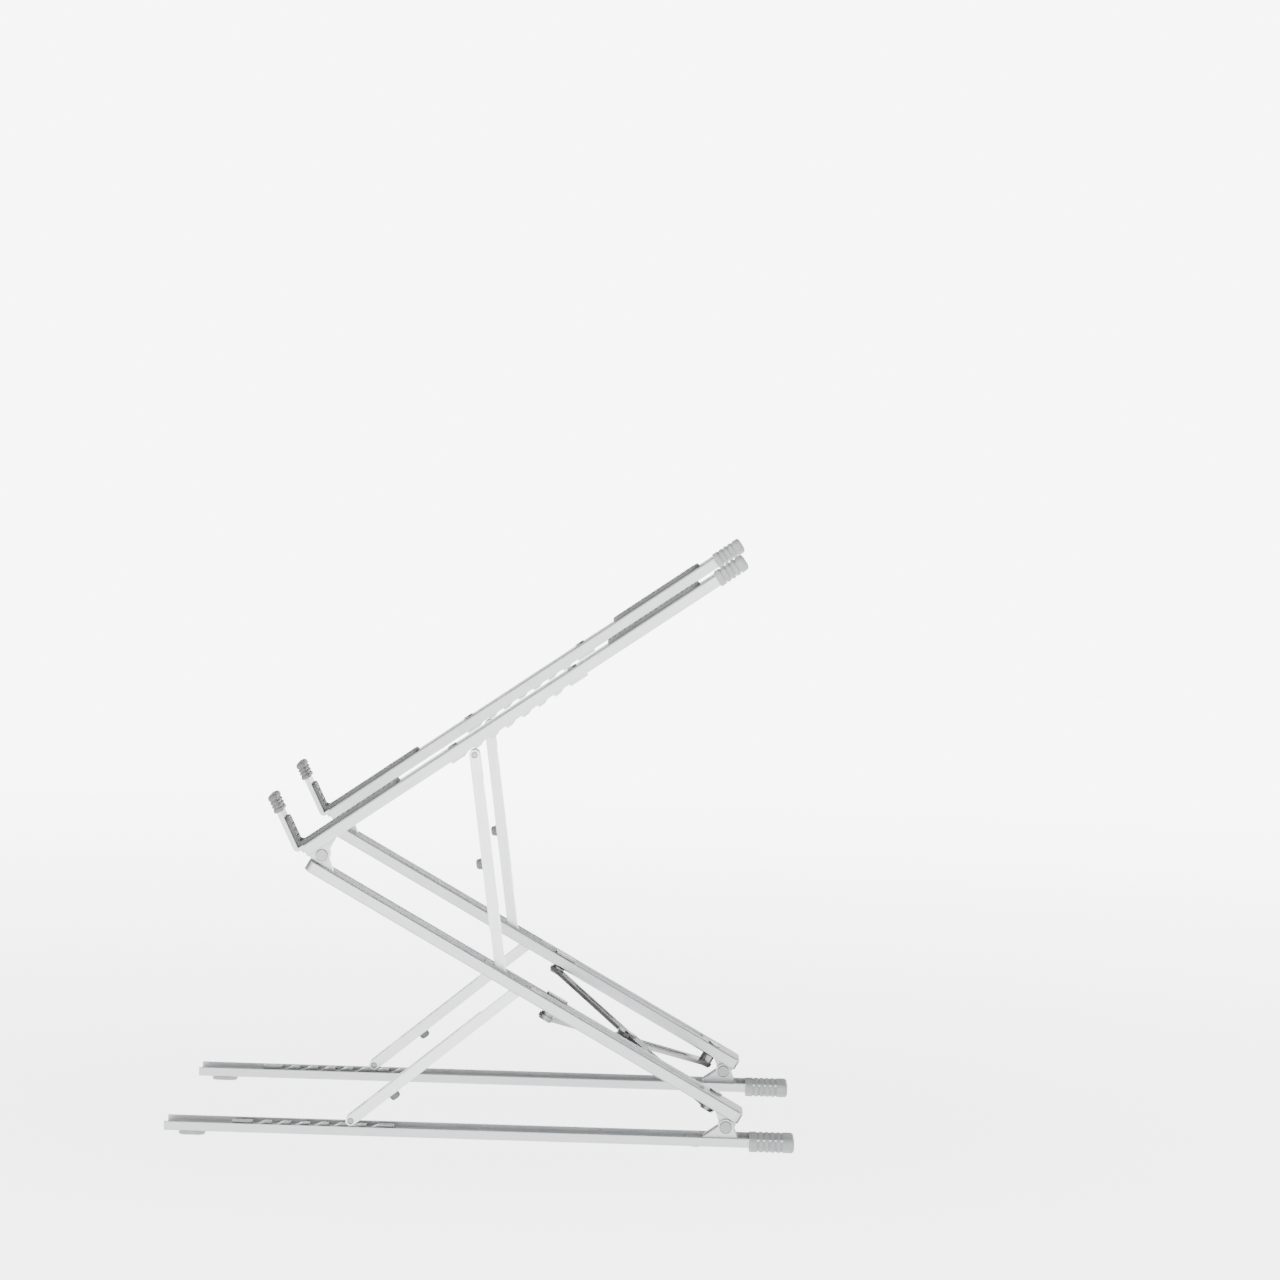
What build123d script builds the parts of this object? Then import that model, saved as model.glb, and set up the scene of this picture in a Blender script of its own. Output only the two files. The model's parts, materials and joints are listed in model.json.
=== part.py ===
"""Foldable two-layer laptop stand of thin aluminium bars.

Each side has a base rail, a long arm that rises to the front, and a carrying rail with a hook.
A lower leg props the arm on the base rail, and an upper leg props the carrying rail on the arm.
Two crossed brace bars under the arms join the sides, and let the stand close to one narrow bundle.

World frame: +X to the user's right, -Y towards the user, +Z up, origin on the desk under the middle.
Everything is drawn for the right side and mirrored for the left. Distances across a bar are given
as lanes, measured from the bar's middle with the outer side positive.
"""
from build123d import *
import os
from math import asin, atan2, cos, degrees, hypot, radians, sin

os.makedirs("parts", exist_ok=True)

# ------------------------------------------------------------------ driving dimensions, mm and degrees
BASE_LENGTH = 265.0  # base rail with its rear foot, front end to rear end
SPAN = 160.0  # right side to left side, centre to centre
RAIL_WIDTH = 20.0
BASE_HEIGHT = 3.8
ARM_HEIGHT = 5.0
CARRY_HEIGHT = 5.0
WALL = 1.5  # web and flanges of the two channels
BACK_ROUNDING = 0.9
FOOT_HEIGHT = 1.8

REAR_JOINT_RISE = 10.0  # rear joint above the desk
HINGE_TO_CARRY = 3.0  # front joint to the open face of the carrying rail
HINGE_TO_ARM = 3.8  # joint centre to the arm's face
REAR_JOINT_U = 236.0  # joint of base rail and arm, from the base rail's front end
FRONT_JOINT_U = 63.3  # joint of arm and carrying rail, in the same measure
FRONT_JOINT_RISE = 109.6  # front joint above the rear joint
CARRY_TILT = 35.0  # slope of the carrying rail
CARRY_LENGTH = 214.0  # carrying rail behind the front joint
CARRY_FRONT = -5.0  # where its flanges start, ahead of the joint

LOWER_PIVOT = 104.0  # lower leg's pivot, along the arm from the rear joint
LOWER_FOOT_U = 78.3  # its lock pin, from the base rail's front end
LOWER_PIN_DROP = 2.2  # the same pin below the rear joint
UPPER_PIVOT = 113.6  # upper leg's pivot, along the arm from the rear joint
UPPER_HEAD_U = 76.6  # its lock pin, along the carrying rail from the front joint

ARM_OVERHANG = 3.5  # arm beyond its two joints
ARM_CORNER = 2.5
ARM_ROUNDING = 0.7
LUG_LENGTH = 7.5  # arm's hinge lug, from the joint towards the middle of the arm

LEG_THICKNESS = 4.4
LEG_NECK = 20.0  # length of the narrow part round the pivot
LEG_PIN_RADIUS = 1.2
LOCK_PIN_RADIUS = 1.3
LOCK_CLEARANCE = 0.4  # lock pin above the tips of the teeth
FORK_WIDTH = 5.4
FORK_DEPTH = 11.0
LOWER_LEG_LANE = (-2.0, 7.9)
LOWER_NECK_LANE = (3.1, 7.9)
UPPER_LEG_LANE = (-3.9, 6.0)
UPPER_NECK_LANE = (-3.9, 0.9)
LOWER_PIN_LANE = (1.7, 9.9)  # pivots of the legs in the arm
UPPER_PIN_LANE = (-5.3, 2.3)
LANE_GAP = 0.5  # leg to the side of its window
TIP_GAP = 1.4  # leg's end to the end of its window
LOWER_HEEL_GAP = 1.6  # the same at its pivot
UPPER_HEEL_GAP = 3.2
NECK_GAP = 1.5  # window's wide part ahead of the leg's
GROOVE_WIDTH = 4.4  # groove along a leg's underside, and its plain ends
GROOVE_DEPTH = 1.2
GROOVE_ROOT = 4.0
GROOVE_TIP = 5.0
BUMPER_RADIUS = 2.6
BUMPER_HEIGHT = 2.6
BUMPER_TAPER = 8
BUMPER_ROUNDING = 0.7
LOWER_BUMPER_SHARE = 0.74  # bumper's place, as a share of the leg's length
UPPER_BUMPER_SHARE = 0.5

RACK_WIDTH = 4.6
NOTCH_PITCH = 8.0
NOTCH_DEPTH = 1.6
NOTCH_WALL = 1.5  # steep wall and end of the ramp, from the seated pin
NOTCH_RAMP = 3.6
RACK_MARGIN = 10.0  # plain end of a rack beyond its last notch
RACK_RIVET_INSET = 4.0
BRACKET_RIVET = 12.5  # bracket's rivets from the joint
BRACKET_RIVET_LANE = 4.5

KNUCKLE_RADIUS = 3.3
KNUCKLE_LANE = (0.0, 6.0)
EAR_THICKNESS = 1.8
EAR_GAP = 0.2
HINGE_PIN_RADIUS = 1.75
PIN_HEAD_RADIUS = 2.6
PIN_HEAD = 0.8
PIN_CHAMFER = 0.25
RUNNING_FIT = 0.05  # radial, between a pin and what turns on it
PLATE = 1.5  # thickness of a hinge bracket's plate
PLATE_LONG = 16.5  # plate's reach from the joint, towards the middle of the rail and away from it
PLATE_SHORT = 6.0
EAR_LONG = 9.5
EAR_SHORT = 5.0

SLOT_LANE = (-8.6, -5.6)  # slot of the arm in which a brace bar's shoe slides
SHOE_LENGTH = 9.0
SHOE_GAP = 0.15  # shoe to the arm's faces and to the sides of the slot
SHOE_FLANGE = 0.9
SHOE_FLANGE_LENGTH = 10.0
SHOE_FLANGE_WIDTH = 4.8
SHOE_FLANGE_CORNER = 1.2
SLOT_SPARE = 1.0  # slot beyond the shoe at each end of its travel
BRACE_REAR = 10.0  # fixed end of a brace bar, along the arm from the rear joint
BRACE_FRONT = 88.0  # sliding end, in the same measure, with the stand opened wide
CLOSED_SPAN = 22.0  # distance between the sides when the stand is closed
BAR_THICKNESS = 1.6
BAR_WIDTH = 7.0
BAR_HUB_RADIUS = 6.0
BAR_SLOT_SHARE = 0.27  # lightening slots of a bar, as a share of its length
BAR_SLOT_WIDTH = 2.4
BAR_A_DROP = 3.6  # top face of each bar below the arm's centre line
BAR_B_DROP = 5.5
SHANK_RADIUS = 1.4
COLLAR_RADIUS = 2.9
HUB_GAP = 0.05  # between the faces of a bar and its collars

HOOK_U = -6.5  # inner face of the hook where it leaves the carrying rail
HOOK_ANGLE = 81.0  # hook against the carrying rail
HOOK_HEIGHT = 24.0
HOOK_THICKNESS = 2.0
HEEL_ROUNDING = 2.2
HOOK_CAP_SKIN = 1.0
HOOK_CAP_REACH = 7.0
HOOK_CAP_ROUNDING = 1.6
PAD_THICKNESS = 1.4
PAD_WIDTH = 16.0
PAD_CORNER = 5.0
FRONT_PAD_END = 44.0  # along the carrying rail from the front joint
FRONT_PAD_TOP = 14.0  # up the hook
REAR_PAD_U = 172.0
REAR_PAD_LENGTH = 46.0
CAP_SKIN = 0.6  # rubber beyond the rail's sides
CAP_END = 2.0  # rubber beyond the rail's end
RAIL_CAP_LENGTH = 14.0
RAIL_CAP_SKIN = 0.7  # rubber over the carrying rail's back and face
REAR_FOOT_LENGTH = 19.0
REAR_FOOT_SKIN = 0.5  # rubber over the base rail's open face
CAP_CORNER = 2.0
CAP_ROUNDING = 0.6
FRONT_FOOT_U = 11.5  # middle of the front foot, from the base rail's front end
FRONT_FOOT_LENGTH = 11.0
FRONT_FOOT_WIDTH = 18.0
FRONT_FOOT_CORNER = 3.0
FRONT_FOOT_ROUNDING = 0.5
RIVET_RADIUS = 1.2
RIVET_HEAD_RADIUS = 2.3
RIVET_HEAD = 0.7
RIVET_HEAD_ROUNDING = 0.5

# ------------------------------------------------------------------------------------ derived layout
SIDE = SPAN / 2
HALF_HEIGHT = ARM_HEIGHT / 2
ARM_OFFSET = HALF_HEIGHT + HINGE_TO_ARM  # arm's centre line to each joint
DOWN = -1  # a channel whose back is below its joint
UP = 1  # a channel whose back is above its joint


def side_frame(y, z, tilt):
    """Frame of a bar: local x runs along it, local y is square to it in the side view."""
    along = (0, cos(radians(tilt)), sin(radians(tilt)))
    return Plane(origin=(0, y, z), x_dir=along, z_dir=(1, 0, 0))


def face_plane(frame, level, x=SIDE):
    """Plane parallel to the bar's broad faces: local x is the lane, local y runs along the bar."""
    middle = frame.origin + frame.y_dir * level + Vector(x, 0, 0)
    return Plane(origin=middle, x_dir=(1, 0, 0), z_dir=frame.y_dir)


def place(frame, along, level=0.0):
    """World point of a bar's local place, in the stand's middle plane."""
    return frame.origin + frame.x_dir * along + frame.y_dir * level


JOINT_RUN = REAR_JOINT_U - FRONT_JOINT_U
JOINT_DISTANCE = hypot(JOINT_RUN, FRONT_JOINT_RISE)
ARM_SPAN = (JOINT_DISTANCE**2 - (2 * ARM_OFFSET) ** 2) ** 0.5
ARM_TILT = degrees(atan2(FRONT_JOINT_RISE, JOINT_RUN) - asin(2 * ARM_OFFSET / JOINT_DISTANCE))

BASE = side_frame(-BASE_LENGTH / 2, REAR_JOINT_RISE, 0)
REAR_JOINT = place(BASE, REAR_JOINT_U)
FRONT_JOINT = place(BASE, FRONT_JOINT_U, FRONT_JOINT_RISE)
CARRY = side_frame(FRONT_JOINT.Y, FRONT_JOINT.Z, CARRY_TILT)
ARM_DIRECTION = side_frame(FRONT_JOINT.Y, FRONT_JOINT.Z, -ARM_TILT)
ARM_START = place(ARM_DIRECTION, 0, -ARM_OFFSET)
ARM = side_frame(ARM_START.Y, ARM_START.Z, -ARM_TILT)


def leg_frame(pivot, pin):
    """Frame of a leg, with its origin on the pivot and local x towards the lock pin."""
    reach = pin - pivot
    return side_frame(pivot.Y, pivot.Z, degrees(atan2(reach.Z, reach.Y)))


LOWER_PIVOT_S = ARM_SPAN - LOWER_PIVOT
UPPER_PIVOT_S = ARM_SPAN - UPPER_PIVOT
LOWER_PIVOT_POINT = place(ARM, LOWER_PIVOT_S)
UPPER_PIVOT_POINT = place(ARM, UPPER_PIVOT_S)
LOWER_PIN_POINT = place(BASE, LOWER_FOOT_U, -LOWER_PIN_DROP)
UPPER_PIN_POINT = place(CARRY, UPPER_HEAD_U)
LOWER_LEG = leg_frame(LOWER_PIVOT_POINT, LOWER_PIN_POINT)
UPPER_LEG = leg_frame(UPPER_PIVOT_POINT, UPPER_PIN_POINT)
LOWER_LENGTH = (LOWER_PIN_POINT - LOWER_PIVOT_POINT).length
UPPER_LENGTH = (UPPER_PIN_POINT - UPPER_PIVOT_POINT).length

INNER_EAR_LANE = (KNUCKLE_LANE[0] - EAR_GAP - EAR_THICKNESS, KNUCKLE_LANE[0] - EAR_GAP)
OUTER_EAR_LANE = (KNUCKLE_LANE[1] + EAR_GAP, KNUCKLE_LANE[1] + EAR_GAP + EAR_THICKNESS)
HINGE_PIN_LANE = (INNER_EAR_LANE[0], OUTER_EAR_LANE[1])

BRACE_LANE = (SLOT_LANE[0] + SLOT_LANE[1]) / 2
BRACE_REAR_S = ARM_SPAN - BRACE_REAR
BRACE_FRONT_S = ARM_SPAN - BRACE_FRONT
BRACE_X = SIDE + BRACE_LANE
BAR_REACH = hypot(2 * BRACE_X, BRACE_REAR_S - BRACE_FRONT_S)
CLOSED_X = CLOSED_SPAN / 2 + BRACE_LANE
BRACE_CLOSED_S = BRACE_REAR_S - (BAR_REACH**2 - (2 * CLOSED_X) ** 2) ** 0.5
BRACE_MIDDLE_S = (BRACE_REAR_S + BRACE_FRONT_S) / 2


def write_pair(piece, name):
    """Writes the right-hand piece and its mirror image."""
    piece.part.label = f"right_{name}"
    export_step(piece.part, f"parts/right_{name}.step")
    with BuildPart() as twin:
        mirror(piece.part, about=Plane.YZ)
    twin.part.label = f"left_{name}"
    export_step(twin.part, f"parts/left_{name}.step")


def write_single(piece, name):
    """Writes a piece that the two sides share."""
    piece.part.label = name
    export_step(piece.part, f"parts/{name}.step")


def lane_middle(lane):
    """Middle of a lane."""
    return (lane[0] + lane[1]) / 2


def lane_width(lane):
    """Width of a lane."""
    return lane[1] - lane[0]


# --------------------------------------------------------------------------------- channels and racks
class Rail:
    """A channel: its frame, the side its back lies on, and its levels away from the joint."""

    def __init__(self, frame, back, face, height, joint_u, rack_lane, notches, pin_depth):
        self.frame = frame
        self.back = back  # UP or DOWN
        self.face = face  # open face
        self.floor = face + height - WALL
        self.outer = face + height
        self.height = height
        self.joint_u = joint_u
        self.rack_lane = rack_lane
        self.notches = notches
        self.rack_ends = (notches[0] - RACK_MARGIN, notches[-1] + RACK_MARGIN)
        self.rack_tip = pin_depth + LOCK_PIN_RADIUS + LOCK_CLEARANCE  # tips of the teeth

    def plane(self, level):
        """Plane parallel to the rail's faces, a level away from the joint towards its back."""
        return face_plane(self.frame, self.back * level)

    def bracket_rivets(self):
        """Rivets through the hinge bracket, as (lane, along)."""
        along = self.joint_u + self.back * BRACKET_RIVET
        return [(-BRACKET_RIVET_LANE, along), (BRACKET_RIVET_LANE, along)]

    def rack_rivets(self):
        """Rivets through the rack, as (lane, along)."""
        lane = lane_middle(self.rack_lane)
        start, end = self.rack_ends
        return [(lane, start + RACK_RIVET_INSET), (lane, end - RACK_RIVET_INSET)]

    def rivets(self):
        """All the rail's rivets, as (lane, along)."""
        return self.bracket_rivets() + self.rack_rivets()


BASE_RAIL = Rail(
    BASE,
    DOWN,
    REAR_JOINT_RISE - FOOT_HEIGHT - BASE_HEIGHT,
    BASE_HEIGHT,
    REAR_JOINT_U,
    LOWER_LEG_LANE,
    [LOWER_FOOT_U + NOTCH_PITCH * step for step in range(-5, 2)],
    LOWER_PIN_DROP,
)
CARRY_RAIL = Rail(
    CARRY,
    UP,
    HINGE_TO_CARRY,
    CARRY_HEIGHT,
    0.0,
    UPPER_LEG_LANE,
    [UPPER_HEAD_U + NOTCH_PITCH * step for step in range(0, 7)],
    0.0,
)


def channel(rail, start, end):
    """U-channel with rounded back edges and its rivet holes."""
    length = end - start
    with BuildPart() as piece:
        with BuildSketch(rail.plane(rail.face)):
            with Locations((0, start + length / 2)):
                Rectangle(RAIL_WIDTH, length)
        extrude(amount=rail.back * rail.height)
        along = piece.edges().filter_by(Axis(rail.frame.origin, rail.frame.x_dir))
        back_edges = along.group_by(Axis(rail.frame.origin, rail.frame.y_dir * rail.back))[-1]
        fillet(back_edges, BACK_ROUNDING)
        with BuildSketch(rail.plane(rail.face)):
            with Locations((0, start + length / 2)):
                Rectangle(RAIL_WIDTH - 2 * WALL, length)
        extrude(amount=rail.back * (rail.height - WALL), mode=Mode.SUBTRACT)
        with BuildSketch(rail.plane(rail.outer)):
            with Locations(*rail.rivets()):
                Circle(RIVET_RADIUS)
        extrude(amount=-rail.back * WALL, mode=Mode.SUBTRACT)
    return piece


def rack(rail):
    """Toothed bar in a channel. Each notch has a steep wall on the side that the load pushes."""
    back = rail.back
    root = back * (rail.rack_tip + NOTCH_DEPTH)
    tip = back * rail.rack_tip
    outline = [(rail.rack_ends[0], back * rail.floor), (rail.rack_ends[0], tip)]
    for centre in rail.notches:
        wall = centre + back * NOTCH_WALL
        foot = centre - back * NOTCH_RAMP
        corners = [(wall, tip), (wall, root), (centre, root), (foot, tip)]
        outline += corners[::-1] if back == UP else corners
    outline += [(rail.rack_ends[1], tip), (rail.rack_ends[1], back * rail.floor)]
    with BuildPart() as piece:
        with BuildSketch(rail.frame.offset(SIDE + lane_middle(rail.rack_lane) - RACK_WIDTH / 2)):
            with BuildLine():
                Polyline(*outline, close=True)
            make_face()
        extrude(amount=RACK_WIDTH)
        with BuildSketch(rail.plane(rail.floor)):
            with Locations(*rail.rack_rivets()):
                Circle(RIVET_RADIUS)
        extrude(amount=-back * PLATE, mode=Mode.SUBTRACT)
    return piece


def rivets(rail):
    """One rail's blind rivets, each with a low rounded head on the rail's back."""
    with BuildPart() as group:
        with BuildSketch(rail.plane(rail.outer)):
            with Locations(*rail.rivets()):
                Circle(RIVET_HEAD_RADIUS)
        extrude(amount=rail.back * RIVET_HEAD)
        rims = group.edges().group_by(Axis(rail.frame.origin, rail.frame.y_dir * rail.back))[-1]
        fillet(rims, RIVET_HEAD_ROUNDING)
        with BuildSketch(rail.plane(rail.outer)):
            with Locations(*rail.rivets()):
                Circle(RIVET_RADIUS)
        extrude(amount=-rail.back * (WALL + PLATE))
    return group


# ------------------------------------------------------------------------------------------- hinges
def hinge_bracket(rail):
    """Clevis in a channel: a plate on the channel's floor and two ears that hold the pin."""
    joint_u = rail.joint_u
    back = rail.back
    shoulder = [
        (joint_u - back * KNUCKLE_RADIUS, 0),
        (joint_u - back * EAR_SHORT, back * rail.face),
        (joint_u - back * EAR_SHORT, back * rail.floor),
        (joint_u + back * EAR_LONG, back * rail.floor),
        (joint_u + back * EAR_LONG, back * rail.face),
        (joint_u + back * KNUCKLE_RADIUS, 0),
    ]
    with BuildPart() as piece:
        with BuildSketch(rail.plane(rail.floor)):
            with Locations((0, joint_u + back * (PLATE_LONG - PLATE_SHORT) / 2)):
                Rectangle(RAIL_WIDTH - 2 * WALL, PLATE_LONG + PLATE_SHORT)
        extrude(amount=-back * PLATE)
        for lane in (INNER_EAR_LANE, OUTER_EAR_LANE):
            with BuildSketch(rail.frame.offset(SIDE + lane[0])):
                with BuildLine():
                    Polyline(*shoulder, close=True)
                make_face()
                with Locations((joint_u, 0)):
                    Circle(KNUCKLE_RADIUS)
            extrude(amount=lane_width(lane))
        with BuildSketch(rail.frame.offset(SIDE + HINGE_PIN_LANE[0])):
            with Locations((joint_u, 0)):
                Circle(HINGE_PIN_RADIUS)
        extrude(amount=lane_width(HINGE_PIN_LANE), mode=Mode.SUBTRACT)
        with BuildSketch(rail.plane(rail.floor)):
            with Locations(*rail.bracket_rivets()):
                Circle(RIVET_RADIUS)
        extrude(amount=-back * PLATE, mode=Mode.SUBTRACT)
    return piece


def cross_pin(centre, radius, lane, head_radius=0.0):
    """Pin across a bar, through a lane. With a head radius it gets a flat head at each end."""
    base_plane = Plane(origin=centre, x_dir=(0, 1, 0), z_dir=(1, 0, 0))
    with BuildPart() as piece:
        with BuildSketch(base_plane.offset(SIDE + lane[0])):
            Circle(radius)
        extrude(amount=lane_width(lane))
        if head_radius:
            with BuildSketch(base_plane.offset(SIDE + lane[0] - PIN_HEAD)):
                Circle(head_radius)
            extrude(amount=PIN_HEAD)
            with BuildSketch(base_plane.offset(SIDE + lane[1])):
                Circle(head_radius)
            extrude(amount=PIN_HEAD)
        rims = piece.edges().group_by(Axis.X)
        chamfer(rims[0] + rims[-1], PIN_CHAMFER)
    return piece


# ---------------------------------------------------------------------------------------------- arm
def arm():
    """Flat bar with windows for the folded legs, a slot for the brace shoe and two hinge lugs."""
    behind_lower = LEG_THICKNESS / 2 + LOWER_HEEL_GAP
    ahead_of_upper = LEG_THICKNESS / 2 + UPPER_HEEL_GAP  # the raised upper leg leans forward here
    lower_tip = LOWER_PIVOT_S - LOWER_LENGTH - LEG_THICKNESS / 2 - TIP_GAP
    upper_tip = UPPER_PIVOT_S + UPPER_LENGTH + LEG_THICKNESS / 2 + TIP_GAP
    neck_reach = LEG_NECK - NECK_GAP
    windows = [
        (LOWER_NECK_LANE, LOWER_PIVOT_S - neck_reach, LOWER_PIVOT_S + behind_lower),
        (LOWER_LEG_LANE, lower_tip, LOWER_PIVOT_S - neck_reach),
        (UPPER_NECK_LANE, UPPER_PIVOT_S - ahead_of_upper, UPPER_PIVOT_S + neck_reach),
        (UPPER_LEG_LANE, UPPER_PIVOT_S + neck_reach, upper_tip),
    ]
    slot_start = BRACE_CLOSED_S - SHOE_LENGTH / 2 - SLOT_SPARE
    slot_end = BRACE_FRONT_S + SHOE_LENGTH / 2 + SLOT_SPARE
    top = face_plane(ARM, HALF_HEIGHT)
    with BuildPart() as piece:
        with BuildSketch(top):
            with Locations((0, ARM_SPAN / 2)):
                RectangleRounded(RAIL_WIDTH, ARM_SPAN + 2 * ARM_OVERHANG, ARM_CORNER)
        extrude(amount=-ARM_HEIGHT)
        fillet(piece.faces().filter_by(Axis(ARM.origin, ARM.y_dir)).edges(), ARM_ROUNDING)
        for joint_s, up in ((0, UP), (ARM_SPAN, DOWN)):
            with BuildSketch(ARM.offset(SIDE + KNUCKLE_LANE[0])):
                with BuildLine():
                    Polyline(
                        (joint_s - up * KNUCKLE_RADIUS, up * ARM_OFFSET),
                        (joint_s - up * KNUCKLE_RADIUS, 0),
                        (joint_s + up * LUG_LENGTH, 0),
                        (joint_s + up * LUG_LENGTH, up * HALF_HEIGHT),
                        (joint_s + up * KNUCKLE_RADIUS, up * ARM_OFFSET),
                        close=True,
                    )
                make_face()
                with Locations((joint_s, up * ARM_OFFSET)):
                    Circle(KNUCKLE_RADIUS)
                    Circle(HINGE_PIN_RADIUS + RUNNING_FIT, mode=Mode.SUBTRACT)
            extrude(amount=lane_width(KNUCKLE_LANE))
        for lane, start, end in windows:
            with BuildSketch(top):
                with Locations((lane_middle(lane), (start + end) / 2)):
                    Rectangle(lane_width(lane) + 2 * LANE_GAP, end - start)
            extrude(amount=-ARM_HEIGHT, mode=Mode.SUBTRACT)
        with BuildSketch(top):
            with Locations((BRACE_LANE, (slot_start + slot_end) / 2)):
                SlotOverall(slot_end - slot_start, lane_width(SLOT_LANE), rotation=90)
            with Locations((BRACE_LANE, BRACE_REAR_S)):
                Circle(SHANK_RADIUS)
        extrude(amount=-ARM_HEIGHT, mode=Mode.SUBTRACT)
        for along, lane in ((LOWER_PIVOT_S, LOWER_PIN_LANE), (UPPER_PIVOT_S, UPPER_PIN_LANE)):
            with BuildSketch(ARM.offset(SIDE + lane[0])):
                with Locations((along, 0)):
                    Circle(LEG_PIN_RADIUS)
            extrude(amount=lane_width(lane), mode=Mode.SUBTRACT)
    return piece


# --------------------------------------------------------------------------------------------- legs
def leg(frame, length, lane, neck_lane):
    """Forked leg: a narrow neck turns on the pivot, and the fork carries the lock pin."""
    pocket_lane = (lane[0], neck_lane[0]) if neck_lane[0] > lane[0] else (neck_lane[1], lane[1])
    with BuildPart() as piece:
        with BuildSketch(frame.offset(SIDE + lane[0])):
            with Locations((length / 2, 0)):
                SlotCenterToCenter(length, LEG_THICKNESS)
            with Locations((0, 0)):
                Circle(LEG_PIN_RADIUS + RUNNING_FIT, mode=Mode.SUBTRACT)
            with Locations((length, 0)):
                Circle(LOCK_PIN_RADIUS, mode=Mode.SUBTRACT)
        extrude(amount=lane_width(lane))
        with BuildSketch(face_plane(frame, LEG_THICKNESS / 2)):
            with Locations((lane_middle(pocket_lane), LEG_NECK / 2 - LEG_THICKNESS)):
                Rectangle(lane_width(pocket_lane), LEG_NECK + 2 * LEG_THICKNESS)
            with Locations((lane_middle(lane), length + LEG_THICKNESS)):
                SlotOverall(2 * (FORK_DEPTH + LEG_THICKNESS), FORK_WIDTH, rotation=90)
        extrude(amount=-LEG_THICKNESS, mode=Mode.SUBTRACT)
        groove_start = LEG_NECK + LEG_THICKNESS + GROOVE_ROOT
        groove_end = length - FORK_DEPTH - GROOVE_TIP
        with BuildSketch(face_plane(frame, -LEG_THICKNESS / 2)):
            with Locations((lane_middle(lane), (groove_start + groove_end) / 2)):
                SlotOverall(groove_end - groove_start, GROOVE_WIDTH, rotation=90)
        extrude(amount=GROOVE_DEPTH, mode=Mode.SUBTRACT)
    return piece


def bumper(frame, along, lane):
    """Rubber stud on a leg's face, on which the folded leg rests without rattling."""
    with BuildPart() as piece:
        with BuildSketch(face_plane(frame, LEG_THICKNESS / 2)):
            with Locations((lane_middle(lane), along)):
                Circle(BUMPER_RADIUS)
        extrude(amount=BUMPER_HEIGHT, taper=BUMPER_TAPER)
        fillet(piece.edges().group_by(Axis(frame.origin, frame.y_dir))[-1], BUMPER_ROUNDING)
    return piece


# --------------------------------------------------------------------------------- carrying rail, hook
def hook_point(height, depth):
    """Place on the hook: height along its inner face from the rail's back, depth in front of it."""
    lean = radians(HOOK_ANGLE)
    along = HOOK_U + height * cos(lean) - depth * sin(lean)
    level = CARRY_RAIL.outer + height * sin(lean) + depth * cos(lean)
    return (along, level)


def carrying_rail():
    """Channel with its web bent up at the front into a hook."""
    outer_drop = (WALL + HOOK_THICKNESS * cos(radians(HOOK_ANGLE))) / sin(radians(HOOK_ANGLE))
    straight = channel(CARRY_RAIL, CARRY_FRONT, CARRY_LENGTH)
    with BuildPart() as piece:
        add(straight.part)
        with BuildSketch(CARRY.offset(SIDE - RAIL_WIDTH / 2)):
            with BuildLine():
                Polyline(
                    (CARRY_FRONT + 1, CARRY_RAIL.outer),
                    hook_point(0, 0),
                    hook_point(HOOK_HEIGHT, 0),
                    hook_point(HOOK_HEIGHT, HOOK_THICKNESS),
                    hook_point(-outer_drop, HOOK_THICKNESS),
                    (CARRY_FRONT + 1, CARRY_RAIL.floor),
                    close=True,
                )
            make_face()
        extrude(amount=RAIL_WIDTH)
        heel_along, heel_level = hook_point(-outer_drop, HOOK_THICKNESS)
        heel = place(CARRY, heel_along, heel_level) + Vector(SIDE, 0, 0)
        fillet(piece.edges().filter_by(Axis.X).sort_by_distance(heel)[0], HEEL_ROUNDING)
    return piece


def hook_cap(rail_solid):
    """Silicone cap pushed over the hook's tip."""
    skin = HOOK_CAP_SKIN
    reach = HOOK_CAP_REACH
    with BuildPart() as piece:
        with BuildSketch(CARRY.offset(SIDE - RAIL_WIDTH / 2 - CAP_SKIN)):
            with BuildLine():
                Polyline(
                    hook_point(HOOK_HEIGHT - reach, -skin),
                    hook_point(HOOK_HEIGHT + skin, -skin),
                    hook_point(HOOK_HEIGHT + skin, HOOK_THICKNESS + skin),
                    hook_point(HOOK_HEIGHT - reach, HOOK_THICKNESS + skin),
                    close=True,
                )
            make_face()
        extrude(amount=RAIL_WIDTH + 2 * CAP_SKIN)
        fillet(piece.edges().filter_by(Axis.X).group_by(Axis.Z)[-2:], HOOK_CAP_ROUNDING)
        add(rail_solid.part, mode=Mode.SUBTRACT)
    return piece


def front_pad(rivet_solids):
    """Silicone strip in the crotch: up the hook's inner face and back along the rail."""
    inner = PAD_THICKNESS * (1 + cos(radians(HOOK_ANGLE))) / sin(radians(HOOK_ANGLE))
    with BuildPart() as piece:
        with BuildSketch(CARRY.offset(SIDE - PAD_WIDTH / 2)):
            with BuildLine():
                Polyline(
                    hook_point(0, 0),
                    hook_point(FRONT_PAD_TOP, 0),
                    hook_point(FRONT_PAD_TOP, -PAD_THICKNESS),
                    hook_point(inner, -PAD_THICKNESS),
                    (FRONT_PAD_END, CARRY_RAIL.outer + PAD_THICKNESS),
                    (FRONT_PAD_END, CARRY_RAIL.outer),
                    close=True,
                )
            make_face()
        extrude(amount=PAD_WIDTH)
        add(rivet_solids.part, mode=Mode.SUBTRACT)
    return piece


def rear_pad():
    """Long silicone strip under the rear of the laptop."""
    with BuildPart() as piece:
        with BuildSketch(CARRY_RAIL.plane(CARRY_RAIL.outer)):
            with Locations((0, REAR_PAD_U)):
                RectangleRounded(PAD_WIDTH, REAR_PAD_LENGTH, PAD_CORNER)
        extrude(amount=PAD_THICKNESS)
    return piece


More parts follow.
